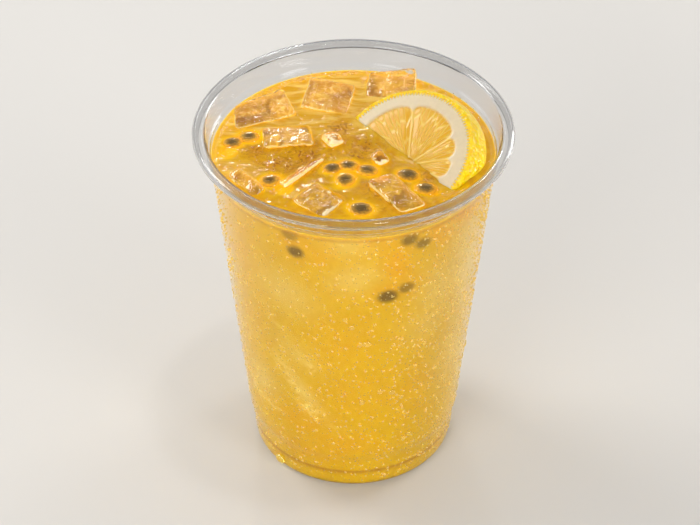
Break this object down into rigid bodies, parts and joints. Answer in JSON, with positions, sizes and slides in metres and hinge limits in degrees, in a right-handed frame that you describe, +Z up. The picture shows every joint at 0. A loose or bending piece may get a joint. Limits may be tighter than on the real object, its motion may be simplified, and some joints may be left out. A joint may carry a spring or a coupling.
{
  "type": "iced lemonade in a clear plastic cup",
  "caption": "Clear disposable cup with a rolled lip, filled with iced lemonade, passion fruit seeds and half a lemon slice.",
  "frame": {"origin": "centre of the cup's base, on the surface that it stands on", "axes": "+Z up along the cup's axis, +X to the right and +Y away from whoever faces the lemon slice's cut side from the front"},
  "size_m": [0.098, 0.098, 0.1215],
  "materials": {
    "clear_plastic": "clear formed PET, smooth, with fine water drops on the outside",
    "lemonade": "cloudy golden drink with a wet, slightly rippled surface",
    "lemon": "wet cut lemon: pale pith, golden pulp and bumpy yellow peel",
    "ice": "wet, partly melted clear ice"
  },
  "bodies": {
    "root": {"cup": "clear_plastic", "drink": "lemonade", "lemon_slice": "lemon", "ice_back_left": "ice", "ice_back": "ice", "ice_back_right": "ice", "ice_left": "ice", "ice_tip_left": "ice", "ice_front_left": "ice", "ice_plate": "ice", "ice_front": "ice", "ice_front_right": "ice", "ice_tip_right": "ice"}
  },
  "joints": []
}
